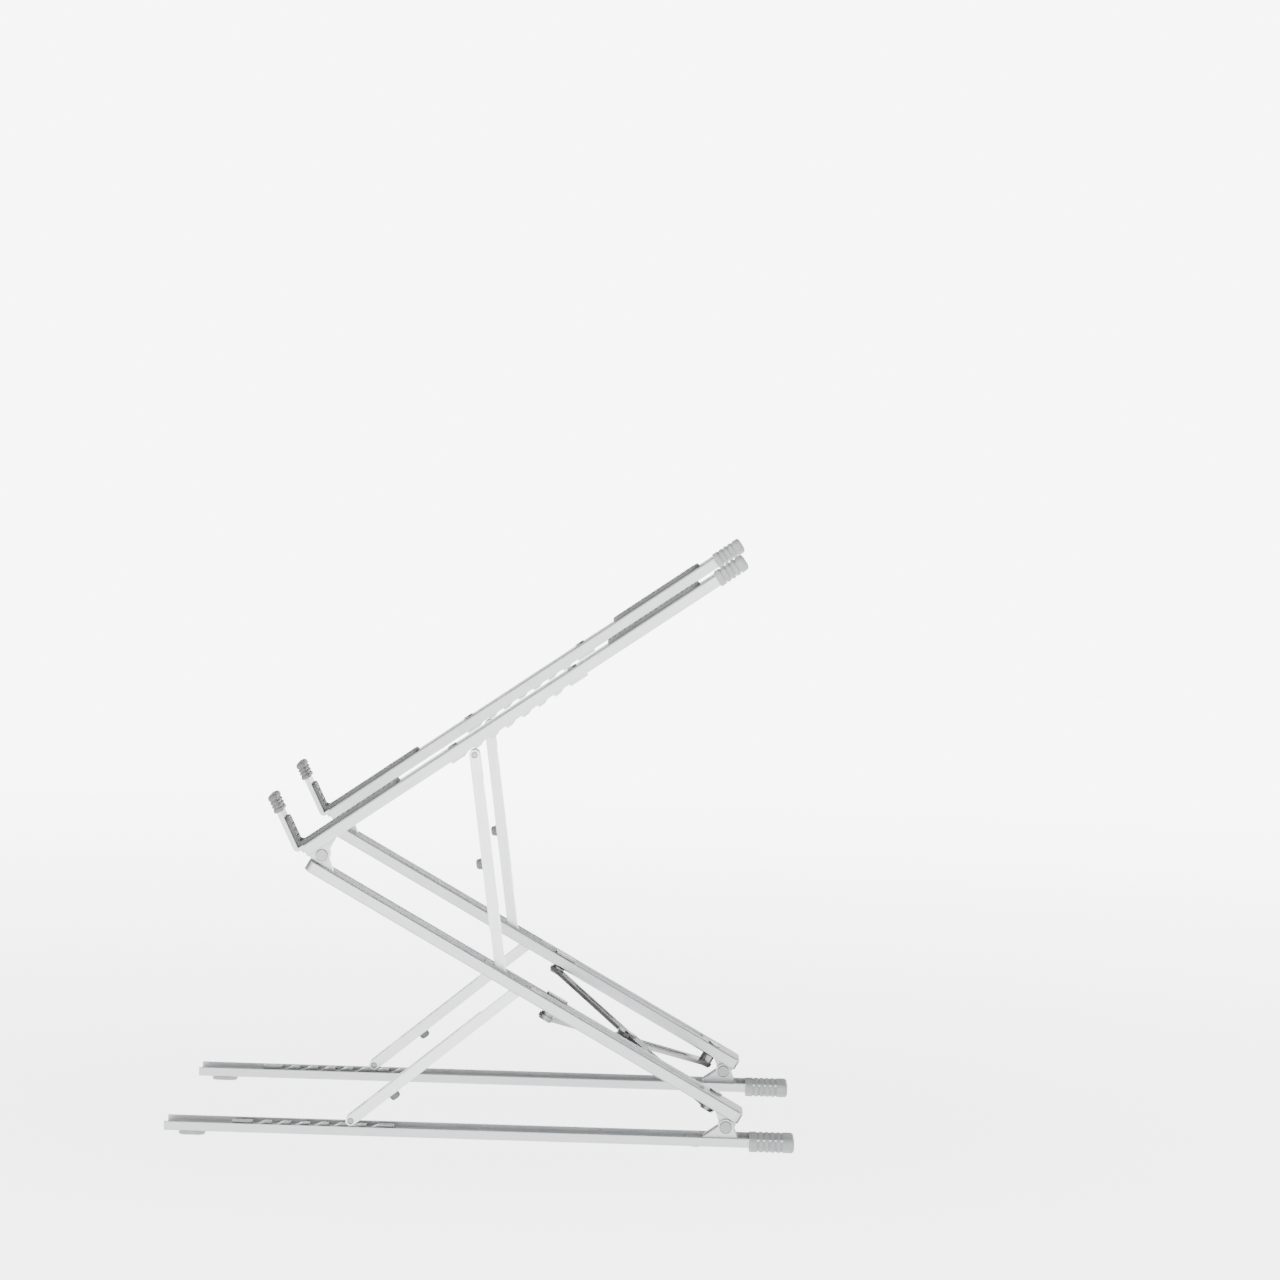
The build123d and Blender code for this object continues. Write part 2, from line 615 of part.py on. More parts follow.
# ---------------------------------------------------------------------------------- feet and end caps
def end_cap(rail, rail_solid, length, rail_end, over_back, over_face):
    """Rubber cap that wraps and plugs the rear end of a rail, given with its solid."""
    with BuildPart() as piece:
        with BuildSketch(rail.plane(rail.outer + over_back)):
            with Locations((0, rail_end + CAP_END - length / 2)):
                RectangleRounded(RAIL_WIDTH + 2 * CAP_SKIN, length, CAP_CORNER)
        extrude(amount=-rail.back * (rail.height + over_back + over_face))
        rims = piece.edges().group_by(Axis(rail.frame.origin, rail.frame.y_dir))
        fillet(rims[0] + rims[-1], CAP_ROUNDING)
        add(rail_solid.part, mode=Mode.SUBTRACT)
    return piece


def front_foot():
    """Rubber foot under the base rail's front end."""
    with BuildPart() as piece:
        with BuildSketch(BASE_RAIL.plane(BASE_RAIL.outer)):
            with Locations((0, FRONT_FOOT_U)):
                RectangleRounded(FRONT_FOOT_WIDTH, FRONT_FOOT_LENGTH, FRONT_FOOT_CORNER)
        extrude(amount=-FOOT_HEIGHT)
        fillet(piece.edges().group_by(Axis.Z)[0], FRONT_FOOT_ROUNDING)
    return piece


# -------------------------------------------------------------------------------------------- brace
def stack(x, along, steps):
    """Turned stack square to the arm: each step is (from level, to level, radius)."""
    with BuildPart() as piece:
        for low, high, radius in steps:
            with BuildSketch(face_plane(ARM, low, x)):
                with Locations((0, along)):
                    Circle(radius)
            extrude(amount=high - low)
    return piece


def brace_bar(rear_x, drop, hub_radius):
    """Flat brace bar from its fixed rear end to its sliding front end on the other side."""
    run = Vector(-2 * rear_x, BRACE_FRONT_S - BRACE_REAR_S)
    heading = degrees(atan2(run.Y, run.X))
    quarter = run / 4
    slot_length = BAR_REACH * BAR_SLOT_SHARE
    with BuildPart() as piece:
        with BuildSketch(face_plane(ARM, -drop, 0)):
            with Locations((0, BRACE_MIDDLE_S)):
                SlotCenterToCenter(BAR_REACH, BAR_WIDTH, rotation=heading)
                Circle(BAR_HUB_RADIUS)
                Circle(hub_radius, mode=Mode.SUBTRACT)
            with Locations((rear_x, BRACE_REAR_S), (-rear_x, BRACE_FRONT_S)):
                Circle(SHANK_RADIUS + RUNNING_FIT, mode=Mode.SUBTRACT)
            for turn in (-1, 1):
                with Locations((turn * quarter.X, BRACE_MIDDLE_S + turn * quarter.Y)):
                    SlotOverall(slot_length, BAR_SLOT_WIDTH, rotation=heading, mode=Mode.SUBTRACT)
        extrude(amount=-BAR_THICKNESS)
    return piece


def shoe(x, drop):
    """Sliding shoe in the arm's slot, with the shank on which a bar's front end turns."""
    flange_low = HALF_HEIGHT + SHOE_GAP
    collar_high = -HALF_HEIGHT - SHOE_GAP
    with BuildPart() as piece:
        with BuildSketch(face_plane(ARM, flange_low, x)):
            with Locations((0, BRACE_FRONT_S)):
                RectangleRounded(SHOE_FLANGE_WIDTH, SHOE_FLANGE_LENGTH, SHOE_FLANGE_CORNER)
        extrude(amount=SHOE_FLANGE)
        with BuildSketch(face_plane(ARM, flange_low, x)):
            with Locations((0, BRACE_FRONT_S)):
                SlotOverall(SHOE_LENGTH, lane_width(SLOT_LANE) - 2 * SHOE_GAP, rotation=90)
        extrude(amount=collar_high - flange_low)
        for low, high, radius in shank_steps(drop, collar_high, flange_low):
            with BuildSketch(face_plane(ARM, low, x)):
                with Locations((0, BRACE_FRONT_S)):
                    Circle(radius)
            extrude(amount=high - low)
    return piece


def shank_steps(drop, collar_high, top):
    """Collar, shank and rivet head that hold a bar whose top face is at -drop."""
    under = -drop - BAR_THICKNESS - HUB_GAP
    return [
        (under, top, SHANK_RADIUS),
        (-drop + HUB_GAP, collar_high, COLLAR_RADIUS),
        (under - RIVET_HEAD, under, COLLAR_RADIUS),
    ]


# ------------------------------------------------------------------------------------- build and write
BASE_METAL_END = BASE_LENGTH - CAP_END
base_rail = channel(BASE_RAIL, 0, BASE_METAL_END)
write_pair(base_rail, "base_rail")
write_pair(rack(BASE_RAIL), "base_rack")
write_pair(hinge_bracket(BASE_RAIL), "base_bracket")
write_pair(rivets(BASE_RAIL), "base_rivets")
write_pair(front_foot(), "front_foot")
rear_foot = end_cap(BASE_RAIL, base_rail, REAR_FOOT_LENGTH, BASE_METAL_END, FOOT_HEIGHT, REAR_FOOT_SKIN)
write_pair(rear_foot, "rear_foot")

rear_hinge_pin = cross_pin(REAR_JOINT, HINGE_PIN_RADIUS, HINGE_PIN_LANE, PIN_HEAD_RADIUS)
write_pair(rear_hinge_pin, "rear_hinge_pin")

long_arm = arm()
write_pair(long_arm, "arm")
write_pair(cross_pin(LOWER_PIVOT_POINT, LEG_PIN_RADIUS, LOWER_PIN_LANE), "lower_leg_pivot")
write_pair(cross_pin(UPPER_PIVOT_POINT, LEG_PIN_RADIUS, UPPER_PIN_LANE), "upper_leg_pivot")

lower_leg = leg(LOWER_LEG, LOWER_LENGTH, LOWER_LEG_LANE, LOWER_NECK_LANE)
write_pair(lower_leg, "lower_leg")
write_pair(cross_pin(LOWER_PIN_POINT, LOCK_PIN_RADIUS, LOWER_LEG_LANE), "lower_lock_pin")
write_pair(bumper(LOWER_LEG, LOWER_LENGTH * LOWER_BUMPER_SHARE, LOWER_LEG_LANE), "lower_bumper")
upper_leg = leg(UPPER_LEG, UPPER_LENGTH, UPPER_LEG_LANE, UPPER_NECK_LANE)
write_pair(upper_leg, "upper_leg")
write_pair(cross_pin(UPPER_PIN_POINT, LOCK_PIN_RADIUS, UPPER_LEG_LANE), "upper_lock_pin")
write_pair(bumper(UPPER_LEG, UPPER_LENGTH * UPPER_BUMPER_SHARE, UPPER_LEG_LANE), "upper_bumper")

carry_rail = carrying_rail()
write_pair(carry_rail, "carry_rail")
write_pair(rack(CARRY_RAIL), "carry_rack")
write_pair(hinge_bracket(CARRY_RAIL), "carry_bracket")
carry_rivets = rivets(CARRY_RAIL)
write_pair(carry_rivets, "carry_rivets")
front_hinge_pin = cross_pin(FRONT_JOINT, HINGE_PIN_RADIUS, HINGE_PIN_LANE, PIN_HEAD_RADIUS)
write_pair(front_hinge_pin, "front_hinge_pin")
write_pair(hook_cap(carry_rail), "hook_cap")
write_pair(front_pad(carry_rivets), "front_pad")
write_pair(rear_pad(), "rear_pad")
rail_cap = end_cap(CARRY_RAIL, carry_rail, RAIL_CAP_LENGTH, CARRY_LENGTH, RAIL_CAP_SKIN, RAIL_CAP_SKIN)
write_pair(rail_cap, "rail_cap")

brace_bar_a = brace_bar(BRACE_X, BAR_A_DROP, SHANK_RADIUS)
write_single(brace_bar_a, "brace_bar_a")
brace_bar_b = brace_bar(-BRACE_X, BAR_B_DROP, SHANK_RADIUS + RUNNING_FIT)
write_single(brace_bar_b, "brace_bar_b")
head_top = (HALF_HEIGHT, HALF_HEIGHT + RIVET_HEAD, COLLAR_RADIUS)
right_rivet = stack(BRACE_X, BRACE_REAR_S, shank_steps(BAR_A_DROP, -HALF_HEIGHT, HALF_HEIGHT) + [head_top])
write_single(right_rivet, "right_brace_rivet")
left_rivet = stack(-BRACE_X, BRACE_REAR_S, shank_steps(BAR_B_DROP, -HALF_HEIGHT, HALF_HEIGHT) + [head_top])
write_single(left_rivet, "left_brace_rivet")
hub_under = -BAR_B_DROP - BAR_THICKNESS - HUB_GAP
hub_steps = [
    (hub_under, -BAR_A_DROP, SHANK_RADIUS),
    (-BAR_A_DROP, -BAR_A_DROP + RIVET_HEAD, COLLAR_RADIUS),
    (-BAR_B_DROP + HUB_GAP, -BAR_A_DROP - BAR_THICKNESS, COLLAR_RADIUS),
    (hub_under - RIVET_HEAD, hub_under, COLLAR_RADIUS),
]
write_single(stack(0, BRACE_MIDDLE_S, hub_steps), "brace_centre_rivet")
write_single(shoe(-BRACE_X, BAR_A_DROP), "left_shoe")
write_single(shoe(BRACE_X, BAR_B_DROP), "right_shoe")
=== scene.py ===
"""Looks of the foldable laptop stand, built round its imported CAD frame.

The metal bars, racks and pins are the CAD's own, with procedural finishes. Every soft part (feet,
end caps, hook caps, pads and leg bumpers) is modelled here in place of its plain CAD solid.
Directions in a rail's own frame are across (world X), along the rail, and up, square to it.
"""

import json
from math import atan2, cos, pi, radians, sin, sqrt

import bmesh
import bpy
from mathutils import Matrix, Vector

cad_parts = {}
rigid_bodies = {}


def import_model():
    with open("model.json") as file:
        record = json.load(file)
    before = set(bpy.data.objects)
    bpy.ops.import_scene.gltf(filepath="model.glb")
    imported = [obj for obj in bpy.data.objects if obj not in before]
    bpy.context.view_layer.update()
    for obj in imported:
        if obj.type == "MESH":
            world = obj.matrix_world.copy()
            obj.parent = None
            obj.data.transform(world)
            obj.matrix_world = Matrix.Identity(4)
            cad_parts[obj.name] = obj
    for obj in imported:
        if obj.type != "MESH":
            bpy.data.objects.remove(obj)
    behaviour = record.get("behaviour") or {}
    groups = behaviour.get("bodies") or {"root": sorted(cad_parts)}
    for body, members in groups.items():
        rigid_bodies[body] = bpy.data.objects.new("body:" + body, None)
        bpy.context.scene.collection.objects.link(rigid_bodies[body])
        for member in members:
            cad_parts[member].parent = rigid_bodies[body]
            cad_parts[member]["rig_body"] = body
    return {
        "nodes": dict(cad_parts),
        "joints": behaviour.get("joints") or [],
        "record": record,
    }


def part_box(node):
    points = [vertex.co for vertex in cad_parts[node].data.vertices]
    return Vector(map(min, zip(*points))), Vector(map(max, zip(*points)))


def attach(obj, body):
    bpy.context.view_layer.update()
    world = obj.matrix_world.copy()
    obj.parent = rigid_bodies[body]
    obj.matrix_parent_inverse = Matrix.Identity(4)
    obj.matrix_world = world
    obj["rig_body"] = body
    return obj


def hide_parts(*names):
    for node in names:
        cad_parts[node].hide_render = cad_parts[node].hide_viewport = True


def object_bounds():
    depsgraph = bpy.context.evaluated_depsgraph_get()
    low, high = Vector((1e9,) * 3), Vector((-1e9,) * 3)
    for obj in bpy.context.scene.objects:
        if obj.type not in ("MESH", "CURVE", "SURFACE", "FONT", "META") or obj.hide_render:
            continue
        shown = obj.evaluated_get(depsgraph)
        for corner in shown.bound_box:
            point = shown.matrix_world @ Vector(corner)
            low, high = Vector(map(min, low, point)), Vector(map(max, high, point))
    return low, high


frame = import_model()
cad_low, cad_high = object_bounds()

MM = 0.001
ACROSS = Vector((1, 0, 0))
SIDES = ("right", "left")
HOOK_ANGLE = radians(81)  # hook against the carrying rail

joints = {joint["name"]: joint for joint in frame["joints"]}
mounts = {mount["name"]: mount for mount in frame["record"]["mounts"]}


# ------------------------------------------------------------------------------- frames of the bars
def turned(along):
    """Rotation from a bar's frame (across, along, up) to the world."""
    along = along.normalized()
    return Matrix((ACROSS, along, ACROSS.cross(along))).transposed()


def middle(node):
    """Middle of a CAD node's box."""
    low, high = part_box(node)
    return (Vector(low) + Vector(high)) / 2


def leg_direction(name):
    """From a leg's pivot to its lock pin."""
    pivot = Vector(joints[f"right_{name}_leg_fold"]["pos_m"])
    return middle(f"right_{name}_lock_pin") - pivot


BASE = turned(Vector((0, 1, 0)))
ARM = turned(Vector(joints["width_fold"]["axis"]).cross(ACROSS))
CARRY = turned(Vector(mounts["right_rear_pad_rest"]["axis"]).cross(ACROSS))
LOWER_LEG = turned(leg_direction("lower"))
UPPER_LEG = turned(leg_direction("upper"))
HOOK = CARRY @ turned(Vector((0, cos(HOOK_ANGLE), sin(HOOK_ANGLE))))


def local_points(node, turn):
    """A CAD node's vertices in a bar's frame."""
    inverse = turn.transposed()
    return [inverse @ vertex.co for vertex in frame["nodes"][node].data.vertices]


def local_box(node, turn):
    """Lowest and highest corner of a CAD node in a bar's frame."""
    points = local_points(node, turn)
    low = Vector([min(point[axis] for point in points) for axis in range(3)])
    high = Vector([max(point[axis] for point in points) for axis in range(3)])
    return low, high


# ---------------------------------------------------------------------------------------- materials
COLOUR_A, COLOUR_B, COLOUR_RESULT = 6, 7, 2  # a mix node's sockets for colours


class Finish:
    """A material's node tree, with short ways to add nodes to it."""

    def __init__(self, name, turn=BASE):
        self.material = bpy.data.materials.new(name)
        self.material.use_nodes = True
        self.tree = self.material.node_tree
        self.surface = self.tree.nodes["Principled BSDF"]
        place = self.add("ShaderNodeTexCoord").outputs["Object"]
        # the mapping brings world places into the bar's frame, so that its grain runs along the bar
        angle = atan2(turn[2][1], turn[1][1])
        self.place = self.map(place, turn=-angle)

    def add(self, kind, **settings):
        node = self.tree.nodes.new(kind)
        for name, value in settings.items():
            setattr(node, name, value)
        return node

    def join(self, source, socket):
        self.tree.links.new(source, socket)

    def map(self, place, turn=0.0, stretch=(1, 1, 1)):
        node = self.add("ShaderNodeMapping")
        node.inputs["Rotation"].default_value = (turn, 0, 0)
        node.inputs["Scale"].default_value = stretch
        self.join(place, node.inputs["Vector"])
        return node.outputs["Vector"]

    def noise(self, size, detail=3.0, stretch=(1, 1, 1)):
        """Noise whose features are about size across, in metres."""
        node = self.add("ShaderNodeTexNoise")
        node.inputs["Scale"].default_value = 1 / size
        node.inputs["Detail"].default_value = detail
        self.join(self.map(self.place, stretch=stretch), node.inputs["Vector"])
        return node.outputs["Fac"]

    def spots(self, size):
        """Distance to the nearest of many scattered points."""
        node = self.add("ShaderNodeTexVoronoi")
        node.inputs["Scale"].default_value = 1 / size
        self.join(self.place, node.inputs["Vector"])
        return node.outputs["Distance"]

    def rescale(self, value, from_range, to_range):
        node = self.add("ShaderNodeMapRange")
        node.inputs["From Min"].default_value, node.inputs["From Max"].default_value = from_range
        node.inputs["To Min"].default_value, node.inputs["To Max"].default_value = to_range
        self.join(value, node.inputs["Value"])
        return node.outputs["Result"]

    def math(self, operation, first, second):
        node = self.add("ShaderNodeMath", operation=operation)
        for socket, value in zip(node.inputs, (first, second)):
            if isinstance(value, (int, float)):
                socket.default_value = value
            else:
                self.join(value, socket)
        return node.outputs["Value"]

    def blend(self, factor, first, second):
        """Colour between two colours or colour outputs."""
        node = self.add("ShaderNodeMix", data_type="RGBA")
        self.join(factor, node.inputs["Factor"])
        for socket, value in ((node.inputs[COLOUR_A], first), (node.inputs[COLOUR_B], second)):
            if isinstance(value, tuple):
                socket.default_value = (*value, 1)
            else:
                self.join(value, socket)
        return node.outputs[COLOUR_RESULT]

    def edges(self, radius):
        """1 along the arrises and 0 on plain faces, with the rounded normal that finds them."""
        rounded = self.add("ShaderNodeBevel", samples=6)
        rounded.inputs["Radius"].default_value = radius
        true = self.add("ShaderNodeNewGeometry").outputs["Normal"]
        node = self.add("ShaderNodeVectorMath", operation="DOT_PRODUCT")
        self.join(rounded.outputs["Normal"], node.inputs[0])
        self.join(true, node.inputs[1])
        mask = self.rescale(node.outputs["Value"], (0.995, 0.86), (0, 1))
        return mask, rounded.outputs["Normal"]

    def crevice_shade(self, distance):
        """1 in the open, towards 0 in corners and gaps; the finishes use it to paint shade into their
        colours.
        """
        node = self.add("ShaderNodeAmbientOcclusion", samples=6)
        node.inputs["Distance"].default_value = distance
        return node.outputs["AO"]

    def relief(self, height, depth, normal=None):
        node = self.add("ShaderNodeBump")
        node.inputs["Distance"].default_value = depth
        self.join(height, node.inputs["Height"])
        if normal is not None:
            self.join(normal, node.inputs["Normal"])
        return node.outputs["Normal"]

    def paint(self, colour, roughness, normal):
        self.join(colour, self.surface.inputs["Base Color"])
        self.join(roughness, self.surface.inputs["Roughness"])
        self.join(normal, self.surface.inputs["Normal"])


def shade(colour, factor):
    """A colour made darker or lighter."""
    return tuple(channel * factor for channel in colour)


def aluminium(name, turn, tone, roughness=0.36, streak=0.5):
    """Bead-blasted, anodised aluminium, drawn along the bar, with bright arrises and painted shade in its
    corners.
    """
    finish = Finish(name, turn)
    cloud = finish.noise(14 * MM, 4.0)
    draw = finish.noise(0.35 * MM, 2.0, stretch=(1, 0.02, 1))
    beads = finish.noise(0.28 * MM, 4.0)
    scratches = finish.noise(0.9 * MM, 6.0, stretch=(1, 0.06, 1))
    wear, rounded = finish.edges(0.28 * MM)
    worn = finish.math("MULTIPLY", wear, finish.rescale(cloud, (0.35, 0.6), (0.35, 1.0)))
    metal = finish.blend(finish.rescale(cloud, (0.3, 0.7), (0, 1)), shade(tone, 0.965), shade(tone, 1.02))
    metal = finish.blend(finish.rescale(draw, (0.35, 0.65), (0, 0.22)), metal, shade(tone, 0.88))
    metal = finish.blend(finish.rescale(scratches, (0.62, 0.74), (0, 0.35)), metal, shade(tone, 1.12))
    metal = finish.blend(worn, metal, shade(tone, 1.16))
    # painted shade: the colour darkens where the ambient occlusion finds corners and gaps
    dark = finish.rescale(finish.crevice_shade(1.6 * MM), (0.25, 0.9), (0.4, 0))
    metal = finish.blend(dark, metal, shade(tone, 0.55))
    rough = finish.math("ADD", finish.rescale(cloud, (0.3, 0.7), (roughness - 0.03, roughness + 0.04)),
                        finish.rescale(draw, (0.3, 0.7), (-0.03, 0.03)))
    rough = finish.math("SUBTRACT", rough, finish.math("MULTIPLY", worn, 0.1))
    grain = finish.math("ADD", finish.math("MULTIPLY", draw, streak), finish.math("MULTIPLY", beads, 1.0))
    finish.paint(metal, rough, finish.relief(grain, 0.006 * MM, rounded))
    finish.surface.inputs["Metallic"].default_value = 1.0
    return finish.material


def steel(name, turn, tone):
    """Turned and nickel-plated pins and rivets, with fine handling marks and painted shade in their corners.
    """
    finish = Finish(name, turn)
    cloud = finish.noise(2.5 * MM, 3.0)
    marks = finish.noise(0.5 * MM, 6.0, stretch=(0.15, 1, 1))
    wear, rounded = finish.edges(0.2 * MM)
    metal = finish.blend(finish.rescale(cloud, (0.3, 0.7), (0, 1)), shade(tone, 0.9), shade(tone, 1.05))
    metal = finish.blend(wear, metal, shade(tone, 1.3))
    # painted shade: the colour darkens where the ambient occlusion finds corners and gaps
    dark = finish.rescale(finish.crevice_shade(1.2 * MM), (0.25, 0.9), (0.6, 0))
    metal = finish.blend(dark, metal, shade(tone, 0.4))
    rough = finish.rescale(marks, (0.3, 0.7), (0.2, 0.34))
    finish.paint(metal, rough, finish.relief(marks, 0.003 * MM, rounded))
    finish.surface.inputs["Metallic"].default_value = 1.0
    return finish.material


def rubber(name, turn, tone, grain_size, roughness):
    """Moulded rubber with a fine grain, a little dust, paler rubbed edges and painted shade in its corners.
    """
    finish = Finish(name, turn)
    cloud = finish.noise(5 * MM, 4.0)
    grain = finish.noise(grain_size, 5.0)
    pits = finish.spots(grain_size * 1.6)
    wear, rounded = finish.edges(0.35 * MM)
    body = finish.blend(finish.rescale(cloud, (0.3, 0.7), (0, 1)), shade(tone, 0.88), shade(tone, 1.1))
    dust = finish.rescale(finish.noise(1.1 * MM, 6.0), (0.58, 0.72), (0, 0.3))
    body = finish.blend(dust, body, shade(tone, 1.4))
    body = finish.blend(finish.math("MULTIPLY", wear, 0.5), body, shade(tone, 1.45))
    # painted shade: the colour darkens where the ambient occlusion finds corners and gaps
    dark = finish.rescale(finish.crevice_shade(1.0 * MM), (0.3, 0.9), (0.55, 0))
    body = finish.blend(dark, body, shade(tone, 0.55))
    rough = finish.rescale(grain, (0.3, 0.7), (roughness - 0.06, roughness + 0.07))
    height = finish.math("ADD", grain, finish.math("MULTIPLY", pits, 0.6))
    finish.paint(body, rough, finish.relief(height, 0.03 * MM, rounded))
    finish.surface.inputs["Specular IOR Level"].default_value = 0.35
    finish.surface.inputs["Sheen Weight"].default_value = 0.08
    finish.surface.inputs["Sheen Roughness"].default_value = 0.5
    return finish.material


RAIL_TONE = (0.37, 0.378, 0.386)
LEG_TONE = (0.52, 0.53, 0.54)
RACK_TONE = (0.35, 0.358, 0.366)
# painted shade: the braces are the same aluminium as the rails, darkened to stand for the shade under a
# laptop on the stand
BRACE_SHADED_TONE = (0.17, 0.174, 0.178)
STEEL_TONE = (0.20, 0.20, 0.196)
SILICONE_TONE = (0.10, 0.102, 0.105)
RUBBER_TONE = (0.22, 0.224, 0.229)

base_metal = aluminium("base rail aluminium", BASE, RAIL_TONE)
arm_metal = aluminium("arm aluminium", ARM, RAIL_TONE)
carry_metal = aluminium("carrying rail aluminium", CARRY, RAIL_TONE)
lower_leg_metal = aluminium("lower leg aluminium", LOWER_LEG, LEG_TONE, streak=0.8)
upper_leg_metal = aluminium("upper leg aluminium", UPPER_LEG, LEG_TONE, streak=0.8)
base_rack_metal = aluminium("base rack aluminium", BASE, RACK_TONE, roughness=0.3, streak=1.2)
carry_rack_metal = aluminium("carrying rack aluminium", CARRY, RACK_TONE, roughness=0.3, streak=1.2)
# painted shade: the braces' aluminium in the darkened tone above
shaded_brace_metal = aluminium("brace aluminium", ARM, BRACE_SHADED_TONE, roughness=0.32, streak=1.0)
pin_metal = steel("nickel-plated steel", BASE, STEEL_TONE)
silicone = rubber("grey silicone", CARRY, SILICONE_TONE, 0.30 * MM, 0.62)
foot_rubber = rubber("foot rubber", BASE, RUBBER_TONE, 0.36 * MM, 0.74)

NODE_METALS = {
    "base_rail": base_metal,
    "base_bracket": base_metal,
    "base_rack": base_rack_metal,
    "arm": arm_metal,
    "carry_rail": carry_metal,
    "carry_bracket": carry_metal,
    "carry_rack": carry_rack_metal,
    "lower_leg": lower_leg_metal,
    "upper_leg": upper_leg_metal,
    "brace_bar_a": shaded_brace_metal,
    "brace_bar_b": shaded_brace_metal,
}


def part_name(node):
    """A node's name without its side."""
    return node.split("_", 1)[1] if node.startswith(SIDES) else node


for node, shape in frame["nodes"].items():
    finish = NODE_METALS.get(part_name(node), pin_metal)
    shape.data.materials.clear()
    shape.data.materials.append(finish)


# ------------------------------------------------------------------------------------- soft pieces
HALF_GROOVE = 4  # steps in half the width of a round groove

CAP_LIP = 0.35 * MM
CAP_MOUTH = 1.2 * MM  # wall of a cap at its open end
CAP_TIP = 1.4 * MM  # rounding of its closed end
CAP_GROOVE_HALF_WIDTH = 0.55 * MM
CAP_GROOVE_DEPTH = 0.38 * MM

FOOT_CORNER = 3 * MM
FOOT_ROUNDING = 0.5 * MM
FOOT_GROOVES = 3
FOOT_GROOVE_START = 0.5 * MM  # first groove in from the rounding
FOOT_GROOVE_PITCH = 1.15 * MM
FOOT_GROOVE_HALF_WIDTH = 0.3 * MM
FOOT_GROOVE_DEPTH = 0.45 * MM

STUD_BARREL = 0.86  # radius of a leg bumper's barrel, as a share of its foot's
STUD_SHOULDER = 0.55  # level where its dome starts, as a share of its height
STUD_DIMPLE = 0.3  # radius of the dimple, as a share of its foot's
STUD_DOME_STEPS = 8
STUD_AROUND = 32

PAD_EDGE = 0.7 * MM
PAD_RIB_PITCH = 2.6 * MM
PAD_GROOVE_SHARE = 0.32  # depth of the grooves, as a share of the pad's thickness
PAD_RIM = (1.0 * MM, 1.8 * MM)  # where the grooves fade out, in from the rim
PAD_ACROSS = 36
THIN_END = 0.02 * MM
FRONT_PAD_CORNER = 2.5 * MM
REAR_PAD_CORNER = 5 * MM
STATION = 0.22 * MM
CROTCH_RADIUS = 1.5 * MM  # of the pad's surface where the hook meets the rail
CROTCH_STEPS = 14


def make_piece(name, points, faces, turn, material, sharp=40):
    """Mesh piece from points in a bar's frame."""
    mesh = bpy.data.meshes.new(name)
    mesh.from_pydata([turn @ Vector(point) for point in points], [], faces)
    shell = bmesh.new()
    shell.from_mesh(mesh)
    bmesh.ops.remove_doubles(shell, verts=shell.verts, dist=0.001 * MM)
    bmesh.ops.recalc_face_normals(shell, faces=shell.faces)
    shell.to_mesh(mesh)
    shell.free()
    mesh.shade_smooth()
    mesh.set_sharp_from_angle(angle=radians(sharp))
    mesh.materials.append(material)
    piece = bpy.data.objects.new(name, mesh)
    bpy.context.scene.collection.objects.link(piece)
    return piece


def stand_for(piece, node):
    """The piece takes a soft CAD node's place on its body."""
    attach(piece, frame["nodes"][node]["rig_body"])
    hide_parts(node)


def rounded_section(half_width, half_height, radius, corner_steps=6):
    """Points round a rounded rectangle, from its middle."""
    radius = min(radius, half_width, half_height)
    points = []
    for quarter, (side, level) in enumerate(((1, 1), (-1, 1), (-1, -1), (1, -1))):
        for step in range(corner_steps + 1):
            angle = (quarter + step / corner_steps) * pi / 2
            x = side * (half_width - radius) + radius * cos(angle)
            y = level * (half_height - radius) + radius * sin(angle)
            points.append((x, y))
    return points


def loft(rings):
    """Points and faces of a closed skin through rings of equal length."""
    points = [point for ring in rings for point in ring]
    count = len(rings[0])
    faces = []
    for start in range(0, (len(rings) - 1) * count, count):
        for step in range(count):
            beside = (step + 1) % count
            faces.append((start + step, start + beside, start + count + beside, start + count + step))
    faces.append(tuple(range(count)))
    faces.append(tuple(range(len(points) - count, len(points))))
    return points, faces


def arc_profile(radius, steps=5):
    """Quarter round as (distance back from the end, inset) pairs."""
    profile = []
    for step in range(steps + 1):
        angle = step / steps * pi / 2
        profile.append((radius * (1 - sin(angle)), radius * (1 - cos(angle))))
    return profile


def groove(centre, half_width, depth):
    """Round-bottomed groove as (place, inset) pairs."""
    profile = []
    for step in range(2 * HALF_GROOVE + 1):
        across = step / HALF_GROOVE - 1
        profile.append((centre + across * half_width, depth * sqrt(max(0.0, 1 - across**2))))
    return profile


def grooved_cap(node, turn, corner, grooves, groove_span, material):
    """Moulded cap over a bar's end: a lipped mouth, grip grooves round it and a rounded end."""
    low, high = local_box(node, turn)
    centre = (low + high) / 2
    half_width = (high.x - low.x) / 2
    half_height = (high.z - low.z) / 2
    length = high.y - low.y
    profile = [(0, CAP_MOUTH), (0, CAP_LIP), (0.4 * CAP_LIP, 0.25 * CAP_LIP), (CAP_LIP, 0)]
    first, last = groove_span
    for number in range(grooves):
        place = length * (first + (last - first) * number / max(1, grooves - 1))
        profile += groove(place, CAP_GROOVE_HALF_WIDTH, CAP_GROOVE_DEPTH)
    for back, inset in arc_profile(CAP_TIP):
        profile.append((length - back, inset))
    rings = []
    for along, inset in profile:
        section = rounded_section(half_width - inset, half_height - inset, corner)
        rings.append([(centre.x + x, low.y + along, centre.z + z) for x, z in section])
    piece = make_piece(f"{node}_moulding", *loft(rings), turn, material)
    stand_for(piece, node)
    return piece


